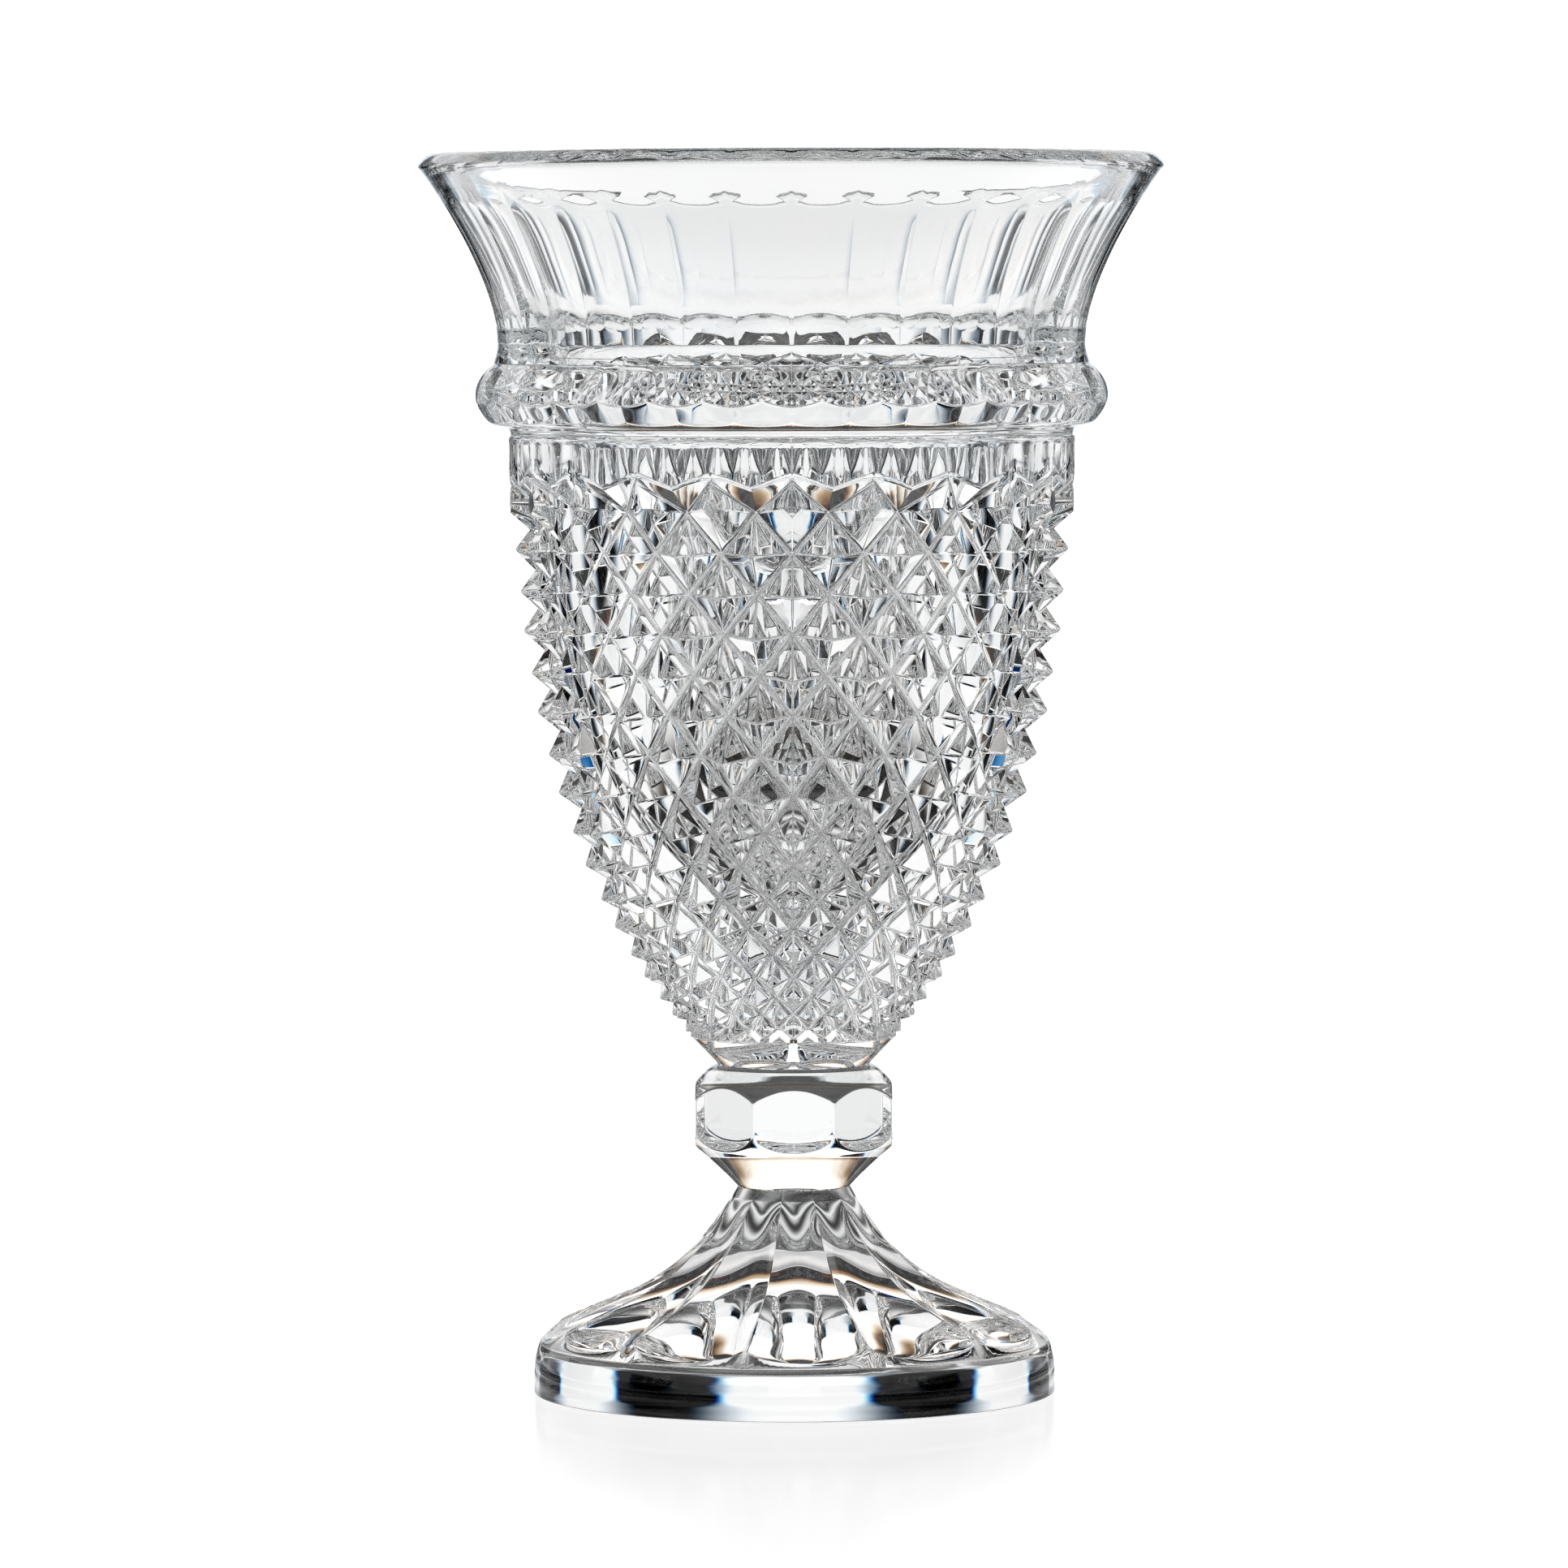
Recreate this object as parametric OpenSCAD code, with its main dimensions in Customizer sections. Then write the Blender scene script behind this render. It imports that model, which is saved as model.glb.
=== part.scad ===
// Cut crystal footed vase: flared fluted collar, faceted girdle ring, diamond-cut bowl,
// eight-sided knop and a round foot with twelve scooped flutes. Units are millimetres.
// +Z is up, the origin is the centre of the base bottom and the front of the vase faces -Y.

/* [Foot] */
// Overall width of the round foot
foot_d = 128.6; // [110:1:160]
// Height of the foot up to the joint under the knop
foot_h = 50.9; // [42:1:62]
// Height of the foot's plain disc side, under the flutes
disc_h = 12.7; // [8:0.5:18]
// Width of the neck where the foot meets the knop
neck_d = 27.8; // [22:0.5:36]
// Number of scooped flutes round the foot
foot_flutes = 12; // [8:1:16]
// How deep each foot flute is scooped below its ridges
foot_flute_depth = 2.6; // [0.5:0.1:3.5]
// Turn of the foot flutes about the axis, degrees
foot_turn = 3.3; // [-15:0.1:15]

/* [Knop] */
// Height of the knop between its two joints
knop_h = 30.2; // [24:1:38]
// Width of the knop across its widest blank, before the facets are cut
knop_d = 53.2; // [44.5:0.5:62]
// Depth of a knop facet below the widest round of the blank
knop_cut = 2.3; // [0.8:0.1:4]
// Width of the joint between the knop and the bowl
stem_d = 37.6; // [30:0.5:44]
// Number of facets round the knop
knop_facets = 8; // [6:1:12]

/* [Bowl] */
// Height of the bowl from the knop joint to the ring joint
bowl_h = 155.2; // [130:1:186]
// Width of the plain band at the top of the bowl
band_d = 139.6; // [126:1:167]
// Number of diamonds in one row round the bowl
diamonds = 22; // [16:1:28]
// Height of a diamond point over its grooves, as a share of the cell's half width
diamond_height = 1.15; // [0.8:0.05:1.2]
// Width of the flat bottom of the diamond grooves
groove_w = 1.4; // [0.8:0.1:1.8]

/* [Girdle ring] */
// Height of the faceted ring between its joints
ring_h = 17.3; // [14:0.5:22]
// How far the ridge of the ring stands out from the plain band
ring_rise = 8.1; // [6:0.1:12]
// Facets in each of the two rows of the ring
ring_facets = 34; // [24:2:40]
// Depth of the ring facets below their ridges
ring_facet_depth = 0.8; // [0.3:0.1:1.2]

/* [Collar] */
// Height of the flared collar above the ring joint
collar_h = 51.4; // [42:1:62]
// Overall width of the rim
rim_d = 183.4; // [168:1:220]
// How far the collar's narrow waist stands out from the plain band
waist_step = 2.5; // [1:0.1:4]
// Height of the polished bevel at the lip
lip_bevel = 3.4; // [2:0.1:5]
// Number of flutes round the collar
collar_flutes = 34; // [24:2:40]
// Depth of the collar flutes below their ridges
collar_flute_depth = 0.5; // [0.4:0.1:1.6]

/* [Inside] */
// Wall thickness of the collar at the lip
lip_wall = 6.2; // [5:0.2:9]
// Wall thickness at the waist and the ring joint
waist_wall = 9.0; // [7:0.5:12]
// Wall thickness of the bowl's plain band
band_wall = 11.6; // [10.5:0.2:14]
// Thickness of solid glass between the cavity and the knop joint
bottom_t = 35.5; // [28:0.5:44]

/* [Joints] */
// Thickness of the clear adhesive films
film_t = 0.2; // [0.1:0.05:0.4]
// How far a film stops short of the glass edge
film_inset = 0.25; // [0.1:0.05:0.5]

/* [Hidden] */
$fn = 96;
glass = [0.86, 0.90, 0.93, 0.55];
film = [0.95, 0.93, 0.85, 0.5];

// Joint heights, bottom to top
z_knop = foot_h + film_t;
z_bowl = z_knop + knop_h + film_t;
z_ring = z_bowl + bowl_h + film_t;
z_collar = z_ring + ring_h + film_t;
z_top = z_collar + collar_h;

// Widths and radii that follow from the sizes above
foot_r = foot_d / 2;
neck_r = neck_d / 2;
stem_r = stem_d / 2;
knop_flat = knop_d - 2 * knop_cut;
ring_d = band_d + 2 * ring_rise;
waist_d = band_d + 2 * waist_step;
ring_foot_r = band_d / 2 - 0.5;
ring_top_r = waist_d / 2 + 1.1;

// Scale of each drawn profile against the size it was drawn at
foot_kr = (foot_r - neck_r) / 50.4;
foot_kz = (foot_h - disc_h) / 38.2;
disc_kz = disc_h / 12.7;
knop_kz = knop_h / 30.2;
ring_kz = ring_h / 17.3;
collar_kz = (collar_h - lip_bevel) / 48;
lip_k = lip_bevel / 3.4;

// ---------- helpers ----------

// Point at radius r and height z; a is degrees from the front, positive to the viewer's right
function at(r, a, z) = [r * sin(a), -r * cos(a), z];

function mix(a, b, t) = a + (b - a) * t;

// Height of a round arch over the span -1..1
function arch(u) = sqrt(max(0, 1 - u * u));

// Smooth curve through the points p; n steps for each span
function spline(p, n) = concat(
  [for (i = [0:len(p) - 2]) for (k = [0:n - 1])
    let (
      a = p[max(0, i - 1)],
      b = p[i],
      c = p[i + 1],
      d = p[min(len(p) - 1, i + 2)],
      t = k / n
    )
    0.5 * (2 * b + (c - a) * t + (2 * a - 5 * b + 4 * c - d) * t * t
      + (3 * b - a - 3 * c + d) * t * t * t)],
  [p[len(p) - 1]]
);

// Radius of a smooth profile [r, z] at height z, z rising along the list
function r_at(p, z) = lookup(z, [for (q = p) [q[1], q[0]]]);

// Closed solid from rings of equal length, listed bottom to top
module ring_stack(rings) {
  m = len(rings[0]);
  n = len(rings);
  base = [0, 0, rings[0][0][2]];
  peak = [0, 0, rings[n - 1][0][2]];
  pts = concat([for (r = rings) each r], [base, peak]);
  sides = [for (i = [0:n - 2]) for (j = [0:m - 1])
    let (a = i * m + j, b = i * m + (j + 1) % m, c = b + m, d = a + m)
    each (j % 2 == 0 ? [[a, d, c], [a, c, b]] : [[a, d, b], [d, c, b]])];
  low = [for (j = [0:m - 1]) [n * m, j, (j + 1) % m]];
  high = [for (j = [0:m - 1]) [n * m + 1, (n - 1) * m + (j + 1) % m, (n - 1) * m + j]];
  polyhedron(points = pts, faces = concat(sides, low, high), convexity = 10);
}

// Closed solid from a list of separate triangles
module triangle_solid(tris) {
  polyhedron(
    points = [for (t = tris) each t],
    faces = [for (i = [0:len(tris) - 1]) [3 * i, 3 * i + 1, 3 * i + 2]],
    convexity = 10
  );
}

function quad(a, b, c, d) = [[a, b, c], [a, c, d]];

// Triangles from the point c to each step of the line p
function fan(c, p) = [for (i = [0:len(p) - 2]) [c, p[i], p[i + 1]]];

// ---------- inside ----------

// Cavity profile [r, z], bottom to top, smooth from the bowl's bottom to the lip
cavity_z = z_bowl + bottom_t;
cavity_deep = z_ring - cavity_z;
band_in = band_d / 2 - band_wall;
waist_in = waist_d / 2 - waist_wall;
lip_in = rim_d / 2 - lip_wall;
cavity_line = spline([
  [0, cavity_z],
  [band_in * 0.145, cavity_z + cavity_deep * 0.008],
  [band_in * 0.34, cavity_z + cavity_deep * 0.045],
  [band_in * 0.50, cavity_z + cavity_deep * 0.108],
  [band_in * 0.635, cavity_z + cavity_deep * 0.19],
  [band_in * 0.745, cavity_z + cavity_deep * 0.295],
  [band_in * 0.835, cavity_z + cavity_deep * 0.425],
  [band_in * 0.905, cavity_z + cavity_deep * 0.57],
  [band_in * 0.955, cavity_z + cavity_deep * 0.73],
  [band_in * 0.985, cavity_z + cavity_deep * 0.88],
  [band_in * 1.012, z_ring],
  [mix(band_in, waist_in, 0.65), z_ring + ring_h * 0.65],
  [waist_in, z_collar + collar_h * 0.08],
  [mix(waist_in, lip_in, 0.17), z_collar + collar_h * 0.30],
  [mix(waist_in, lip_in, 0.42), z_collar + collar_h * 0.55],
  [mix(waist_in, lip_in, 0.74), z_collar + collar_h * 0.80],
  [mix(waist_in, lip_in, 0.93), z_collar + collar_h * 0.95],
  [lip_in, z_top - 0.6],
  [lip_in + 0.9, z_top],
], 3);

module cavity() {
  rotate_extrude()
    polygon(concat(cavity_line, [[lip_in + 0.9, z_top + 5], [0, z_top + 5]]));
}

// Clear film between two glass faces; solid when the cavity does not reach it
module bond(z, r) {
  color(film)
    difference() {
      translate([0, 0, z]) cylinder(h = film_t, r = r - film_inset);
      if (z > cavity_z)
        translate([0, 0, z - 1])
          cylinder(h = film_t + 2, r = r_at(cavity_line, z) + film_inset);
    }
}

// ---------- foot ----------

foot_cols = 8;
foot_step = 360 / foot_flutes / foot_cols;

// Ridge line of the bell, top to bottom, then the plain shoulder and side of the disc
bell = spline([for (p = [
  [15.2, 48.6], [17.0, 46.2], [19.6, 42.6], [22.8, 38.4], [26.8, 34.2], [31.9, 29.9],
  [38.6, 25.8], [46.6, 22.2], [53.4, 19.4], [58.6, 17.0],
]) [neck_r + (p[0] - 13.9) * foot_kr, disc_h + (p[1] - 12.7) * foot_kz]], 2);

// Depth of a flute along the bell: nothing at the neck, full from the first third
function flute_run(t) = min(1, t * 3) * (1 - 0.55 * pow(t, 6));

// One ring of the fluted bell; t runs 0..1 from the neck to the flute's rounded tip
function bell_ring(t) = [for (j = [0:foot_flutes * foot_cols - 1])
  let (
    u = 2 * (j % foot_cols) / foot_cols - 1,
    k = t * (len(bell) - 1),
    i = min(len(bell) - 2, floor(k)),
    p = mix(bell[i], bell[i + 1], k - i),
    tip = [3.1 * foot_kr, -3.1 * foot_kz] * arch(u) * pow(t, 4),
    sink = foot_flute_depth * flute_run(t) * (1 - u * u) * (t > 0.999 ? 0 : 1),
    n = [-0.55, -0.83]
  )
  at(p[0] + tip[0] + n[0] * sink, j * foot_step + foot_turn - 180 / foot_flutes,
    p[1] + tip[1] + n[1] * sink)];

function foot_ring(r, z) = [for (j = [0:foot_flutes * foot_cols - 1])
  at(r, j * foot_step + foot_turn - 180 / foot_flutes, z)];

module foot() {
  color(glass)
    ring_stack(concat(
      [for (p = [[0.6, 0], [0, 0.6], [0, 6.0], [0.4, 8.8], [0.9, 11.0], [1.5, 12.7]])
        foot_ring(foot_r - p[0], p[1] * disc_kz)],
      [for (t = [1, 0.97, 0.93, 0.86, 0.77, 0.68, 0.58, 0.48, 0.38, 0.28, 0.18, 0.08, 0])
        bell_ring(t)],
      [foot_ring(neck_r, foot_h)]
    ));
}

// ---------- knop ----------

module knop() {
  r = knop_d / 2;
  color(glass)
    translate([0, 0, z_knop])
      difference() {
        rotate_extrude()
          polygon(concat([[0, 0]], spline([for (p = [
            [neck_r, 0], [0.63 * r, 3.0], [0.82 * r, 7.7], [0.925 * r, 10.2],
            [0.985 * r, 13.2], [r, 17.6], [0.985 * r, 22.0], [0.93 * r, 24.8],
            [0.87 * r, 27.0], [0.775 * r, 29.3], [stem_r, 30.2],
          ]) [p[0], p[1] * knop_kz]], 3), [[0, knop_h]]));
        for (i = [0:knop_facets - 1])
          rotate([0, 0, i * 360 / knop_facets - 90])
            translate([knop_flat / 2, -r, 0.08 * knop_h])
              cube([r, 2 * r, 0.88 * knop_h]);
      }
}

// ---------- bowl ----------

// Everything is measured up from the knop joint. Half steps of the pattern count from the front.
half = 180 / diamonds;
band_r = band_d / 2;
rows = 17;
band_cols = 3;

// Radius of the groove bottoms at height z
function groove_r(z) =
  0.4417 * band_d * pow(1 - pow(max(0, (1.0477 * bowl_h - z) / (1.121 * bowl_h)), 2.39), 0.7072);

// Row heights, top row first: even steps at first, closing up as the bowl narrows
function row_list(z, n) = n == 0 ? [z] : concat([z],
  row_list(z - bowl_h * min(0.0633, 0.1966 * groove_r(z) / band_d - 0.0133), n - 1));
row_z = row_list(0.8847 * bowl_h, rows);
row_r = [for (z = row_z) groove_r(z)];

// Slope of the surface and the half width of a cell, measured square to its sides
function slope(k) = groove_r(row_z[k] + 0.5) - groove_r(row_z[k] - 0.5);
function cell_b(k) = (row_z[k] - row_z[k + 1]) * sqrt(1 + pow(slope(k), 2));
function cell_a(k) = row_r[k] * half * PI / 180;
function cell_d(k) = cell_a(k) * cell_b(k) / sqrt(pow(cell_a(k), 2) + pow(cell_b(k), 2));
cut = [for (k = [0:rows - 1]) groove_w / 2 / cell_d(k)];

// Heights that end the pattern: peaks, valleys and the line where the plain cone starts
peak_z = 0.9452 * bowl_h;
valley_z = 0.9214 * bowl_h;
cone_z = 0.0438 * bowl_h;
cone_r = 0.1827 * band_d;

// Pattern point: m counts half steps round the bowl
function pt(r, m, z) = at(r, (((m % (2 * diamonds)) + 2 * diamonds) % (2 * diamonds)) * half, z);

function col(k, j) = 2 * j + k % 2;
function wheel(k, m, t) = pt(mix(row_r[k], row_r[t], cut[min(k, t)]), m,
  mix(row_z[k], row_z[t], cut[min(k, t)]));

// Corners of a cell, each held back from the groove line by half the groove width
function left(k, m) = pt(row_r[k], m - 1 + cut[k], row_z[k]);
function right(k, m) = pt(row_r[k], m + 1 - cut[k], row_z[k]);
function top(k, m) = k == 0
  ? pt(band_r - 0.3, m, peak_z - 2.0 * groove_w)
  : wheel(k - 1, m, k);
function bottom(k, m) = k == rows - 1
  ? pt(cone_r - 0.25, m, cone_z + 0.9 * groove_w)
  : wheel(k + 1, m, k);
function apex(k, m) =
  let (h = diamond_height * cell_d(k), s = slope(k), q = sqrt(1 + s * s))
  pt(min(band_r - 0.05, row_r[k] + h / q), m, row_z[k] - h * s / q);

// Points over the top grooves and under the last ones
function over(m) = pt(row_r[0] + 0.2, m, row_z[0] + 0.8 * groove_w);
function under(m) = pt(row_r[rows - 1], m, row_z[rows - 1] - 0.8 * groove_w);

// Zigzag edge of the plain band, between the peak at m and the peak at m + 2
function zigzag(m) = [for (i = [0:2 * band_cols])
  let (u = i / band_cols)
  pt(band_r, m + u, mix(peak_z, valley_z, 1 - abs(1 - u)))];

function band_ring(r, z) = [for (i = [0:2 * diamonds * band_cols]) pt(r, i / band_cols, z)];

// A full diamond: four flat sides meeting at the point
function diamond(k, m) = fan(apex(k, m),
  [top(k, m), left(k, m), bottom(k, m), right(k, m), top(k, m)]);

// A diamond of the top row, its point flattened to a kite by the plain band
function kite(m) =
  let (
    t = pt(band_r, m, row_z[0] + 0.047 * bowl_h),
    l = pt(band_r, m - 0.21, row_z[0] + 0.0085 * bowl_h),
    r = pt(band_r, m + 0.21, row_z[0] + 0.0085 * bowl_h),
    b = pt(band_r, m, row_z[0] - 0.009 * bowl_h)
  )
  concat(
    quad(t, l, b, r),
    quad(top(0, m), left(0, m), l, t),
    quad(left(0, m), bottom(0, m), b, l),
    quad(bottom(0, m), right(0, m), r, b),
    quad(right(0, m), top(0, m), t, r)
  );

module diamond_bowl() {
  zig = [for (j = [0:diamonds - 1]) zigzag(2 * j)];
  edge = concat([for (z = zig) for (i = [0:2 * band_cols - 1]) z[i]], [zig[0][0]]);
  step = band_ring(band_r, bowl_h - 0.6);
  lip = band_ring(ring_foot_r, bowl_h);
  n = len(edge) - 1;
  cone = [for (i = [0:2 * diamonds]) pt(cone_r, i, cone_z)];
  base = [for (i = [0:2 * diamonds]) pt(stem_r, i, 0)];
  last = rows - 1;
  color(glass)
    translate([0, 0, z_bowl])
      difference() {
        triangle_solid(concat(
          [for (i = [0:n - 1]) each quad(edge[i], edge[i + 1], step[i + 1], step[i])],
          [for (i = [0:n - 1]) each quad(step[i], step[i + 1], lip[i + 1], lip[i])],
          fan([0, 0, bowl_h], lip),
          [for (j = [0:diamonds - 1]) let (m = 2 * j) each concat(
            kite(m),
            fan(over(m + 1), [for (i = [0:2 * band_cols]) zig[j][2 * band_cols - i]]),
            quad(right(0, m), over(m + 1), zig[j][0], top(0, m)),
            quad(left(0, m), top(0, m), zig[j][0], over(m - 1)),
            quad(over(m + 1), right(0, m), top(1, m + 1), left(0, m + 2))
          )],
          [for (k = [1:last]) for (j = [0:diamonds - 1]) each diamond(k, col(k, j))],
          [for (k = [0:last - 1]) for (j = [0:diamonds - 1]) let (m = col(k, j)) each concat(
            quad(right(k, m), bottom(k, m), left(k + 1, m + 1), top(k + 1, m + 1)),
            quad(left(k, m), top(k + 1, m - 1), right(k + 1, m - 1), bottom(k, m))
          )],
          [for (k = [1:last]) for (j = [0:diamonds - 1]) let (m = col(k, j)) each
            quad(bottom(k - 1, m + 1), right(k, m),
              k == last ? under(m + 1) : top(k + 1, m + 1), left(k, m + 2))],
          [for (j = [0:diamonds - 1]) let (m = col(last, j)) each concat(
            quad(right(last, m), bottom(last, m), cone[m], under(m + 1)),
            quad(left(last, m), under(m - 1), cone[m], bottom(last, m)),
            fan(under(m + 1), [cone[m], cone[m + 1], cone[m + 2]])
          )],
          [for (i = [0:2 * diamonds - 1]) each quad(base[i], base[i + 1], cone[i + 1], cone[i])],
          fan([0, 0, 0], [for (i = [0:2 * diamonds]) base[2 * diamonds - i]])
        ));
        translate([0, 0, -z_bowl]) cavity();
      }
}

// ---------- girdle ring ----------

ring_cols = 4;
ring_step = 360 / ring_facets / ring_cols;
ring_mid = 9.7;

// Blank of the ring at height z (drawn size), bulging to its ridge
function ring_blank(z) = ring_d / 2 - 0.075 * pow(z - ring_mid, 2);

// Place of column j in its facet, -1..1; the lower row is shifted by half a facet
function upper_u(j) = 2 * ((j + ring_cols / 2) % ring_cols) / ring_cols - 1;
function lower_u(j) = 2 * (j % ring_cols) / ring_cols - 1;

function ring_round(r, z) = [for (j = [0:ring_facets * ring_cols - 1])
  at(r, j * ring_step, z * ring_kz)];

// Edges of the facet rows: top arcs, the zigzag ridge between the rows and the bottom arcs
function ring_top(j) = 15.3 + 1.1 * arch(upper_u(j));
function ring_ridge(j) = 7.4 + 1.4 * pow(upper_u(j), 2);
function ring_low(j) = 4.1 - 1.2 * arch(lower_u(j));

function upper_row(v) = [for (j = [0:ring_facets * ring_cols - 1])
  let (u = upper_u(j), z = mix(ring_ridge(j), ring_top(j), v))
  at(ring_blank(z) - ring_facet_depth * (1 - u * u) * pow(4 * v * (1 - v), 0.6),
    j * ring_step, z * ring_kz)];

function lower_row(v) = [for (j = [0:ring_facets * ring_cols - 1])
  let (u = lower_u(j), z = mix(ring_low(j), ring_ridge(j), v))
  at(ring_blank(z) - ring_facet_depth * (1 - u * u) * pow(4 * v * (1 - v), 0.6),
    j * ring_step, z * ring_kz)];

module girdle_ring() {
  color(glass)
    difference() {
      translate([0, 0, z_ring])
        ring_stack([
          ring_round(ring_foot_r, 0),
          ring_round(ring_foot_r + 0.2, 1.0),
          ring_round(ring_foot_r + 1.3, 1.9),
          ring_round(ring_blank(2.4) - 0.5, 2.3),
          lower_row(0),
          lower_row(0.3),
          lower_row(0.7),
          upper_row(0),
          upper_row(0.2),
          upper_row(0.5),
          upper_row(0.8),
          upper_row(1),
          ring_round(ring_top_r + 0.4, 16.9),
          ring_round(ring_top_r, 17.3),
        ]);
      cavity();
    }
}

// ---------- collar ----------

collar_cols = 4;
collar_step = 360 / collar_flutes / collar_cols;

// Blank of the collar at height z (drawn size): waist, then the flare towards the lip
waist_z = 5.7;
flare = (rim_d / 2 - 0.8 - waist_d / 2) / pow(47.2 - waist_z, 1.564);
function collar_blank(z) = z < waist_z
  ? waist_d / 2 + 1.1 * pow((waist_z - z) / waist_z, 2)
  : waist_d / 2 + flare * pow(z - waist_z, 1.564);

function collar_u(j) = 2 * (j % collar_cols) / collar_cols - 1;
function flute_low(j) = 9.7 - 2.4 * arch(collar_u(j));
function flute_top(j) = 37.1 + 3.3 * arch(collar_u(j));

// v runs 0..1 up the flute; both ends of the scoop rise to the blank
function flute_row(v) = [for (j = [0:collar_flutes * collar_cols - 1])
  let (
    u = collar_u(j),
    z = mix(flute_low(j), flute_top(j), v),
    end = min(1, min(v, 1 - v) / 0.08)
  )
  at(collar_blank(z) - collar_flute_depth * (1 - u * u) * end, j * collar_step, z * collar_kz)];

function collar_round(r, z) = [for (j = [0:collar_flutes * collar_cols - 1])
  at(r, j * collar_step, z * collar_kz)];

// Ring of the lip bevel: in and up from the widest edge, drawn size
function lip_round(r, step_in, up) = [for (j = [0:collar_flutes * collar_cols - 1])
  at(r - step_in * lip_k, j * collar_step, collar_h - lip_bevel + up * lip_k)];

module rim_collar() {
  r = rim_d / 2;
  color(glass)
    difference() {
      translate([0, 0, z_collar])
        ring_stack([
          collar_round(ring_top_r, 0),
          collar_round(collar_blank(2.0), 2.0),
          collar_round(collar_blank(4.6), 4.6),
          flute_row(0),
          flute_row(0.08),
          flute_row(0.24),
          flute_row(0.42),
          flute_row(0.60),
          flute_row(0.77),
          flute_row(0.92),
          flute_row(1),
          collar_round(collar_blank(44), 44),
          collar_round(r - 0.8, 47.2),
          collar_round(r, 48),
          lip_round(r, 0.6, 1.3),
          lip_round(r, 1.8, 2.6),
          lip_round(r, 3.4, 3.4),
        ]);
      cavity();
    }
}

// ---------- parts ----------

foot();
bond(foot_h, neck_r);  // bond_foot
knop();
bond(z_bowl - film_t, stem_r);  // bond_knop
diamond_bowl();
bond(z_ring - film_t, ring_foot_r);  // bond_bowl
girdle_ring();
bond(z_collar - film_t, ring_top_r);  // bond_ring
rim_collar();
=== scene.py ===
import math

import bpy
import numpy as np
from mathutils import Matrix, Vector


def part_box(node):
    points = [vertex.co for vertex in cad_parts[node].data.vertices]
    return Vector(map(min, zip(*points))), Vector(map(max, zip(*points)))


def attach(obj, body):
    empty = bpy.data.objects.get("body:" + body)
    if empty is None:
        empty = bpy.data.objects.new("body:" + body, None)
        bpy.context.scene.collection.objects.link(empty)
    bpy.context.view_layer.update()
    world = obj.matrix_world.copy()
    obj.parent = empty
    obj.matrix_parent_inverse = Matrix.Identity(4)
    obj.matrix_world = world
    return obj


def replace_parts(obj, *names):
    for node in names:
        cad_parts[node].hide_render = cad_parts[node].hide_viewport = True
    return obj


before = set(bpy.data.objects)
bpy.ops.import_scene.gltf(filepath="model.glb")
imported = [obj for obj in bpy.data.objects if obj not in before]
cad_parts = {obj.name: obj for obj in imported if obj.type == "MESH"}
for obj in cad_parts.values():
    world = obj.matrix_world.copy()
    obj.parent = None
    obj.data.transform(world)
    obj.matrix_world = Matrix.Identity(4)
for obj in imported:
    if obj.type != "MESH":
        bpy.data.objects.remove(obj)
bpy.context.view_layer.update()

# ---------- sizes ----------

# Sizes are in millimetres, as in the CAD source. Meshes are scaled to metres when they are built.
MM = 0.001


def measure(node, corner, axis):
    """One coordinate of a CAD node's box: corner 0 is the lowest and 1 the highest, axis 2 is up."""
    return round(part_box(node)[corner][axis] / MM, 3)


def tall(node):
    return round(measure(node, 1, 2) - measure(node, 0, 2), 3)


# Heights and radii read from the CAD boxes
Z_KNOP, Z_BOWL = measure("knop", 0, 2), measure("diamond_bowl", 0, 2)
Z_RING, Z_COLLAR = measure("girdle_ring", 0, 2), measure("rim_collar", 0, 2)
Z_TOP = measure("rim_collar", 1, 2)
FOOT_H, KNOP_H, BOWL_H = tall("foot"), tall("knop"), tall("diamond_bowl")
RING_H, COLLAR_H = tall("girdle_ring"), tall("rim_collar")
FILM = round(Z_COLLAR - Z_RING - RING_H, 3)
KNOP_FLAT = measure("knop", 1, 0)
BAND_R = measure("diamond_bowl", 1, 0)
RIM_R = measure("rim_collar", 1, 0)

# Sizes that no box shows, the same values as in the CAD source
FOOT_R, DISC_H, NECK_R = 64.3, 12.7, 13.9
FOOT_FLUTES, FLUTE_SINK, FOOT_TURN = 12, 2.6, 3.3
KNOP_R, STEM_R, KNOP_FACETS = 26.6, 18.8, 8
DIAMONDS, ROWS = 22, 17
RING_R, FACETS, FACET_SINK = 77.9, 34, 0.8
WAIST_R, COLLAR_SINK = 72.3, 0.5
LIP_WALL, WAIST_WALL, BAND_WALL, BASE_WALL = 6.2, 9.0, 11.6, 35.5
BAND_SINK = 0.35  # depth of the flutes on the plain band, which the CAD leaves smooth


# ---------- mesh helpers ----------

WELD = 3         # points that agree to this many decimals of a millimetre become one
MOST_GROUPS = 8  # more than the shading groups of any piece
OUTER, TOP, INNER, BOTTOM = range(4)  # the shading groups
GLASS, JOINT = range(2)               # the material slots of a glass piece


def at(r, a, z):
    """Points at radius r and height z; a is degrees from the front, positive to the viewer's right."""
    r, a, z = np.broadcast_arrays(r, np.radians(a), z)
    return np.stack([r * np.sin(a), -r * np.cos(a), z], -1).astype(float)


def radius(p):
    return np.hypot(p[..., 0], p[..., 1])


def mix(a, b, t):
    return a + (b - a) * t


def arch(u):
    """Height of a round arch over the span -1..1."""
    return np.sqrt(np.maximum(0, 1 - u * u))


def soft_min(a, b, w):
    """The smaller of two values, rounded over where they differ by less than w."""
    h = np.maximum(w - np.abs(a - b), 0) / w
    return np.minimum(a, b) - h * h * w / 4


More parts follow.
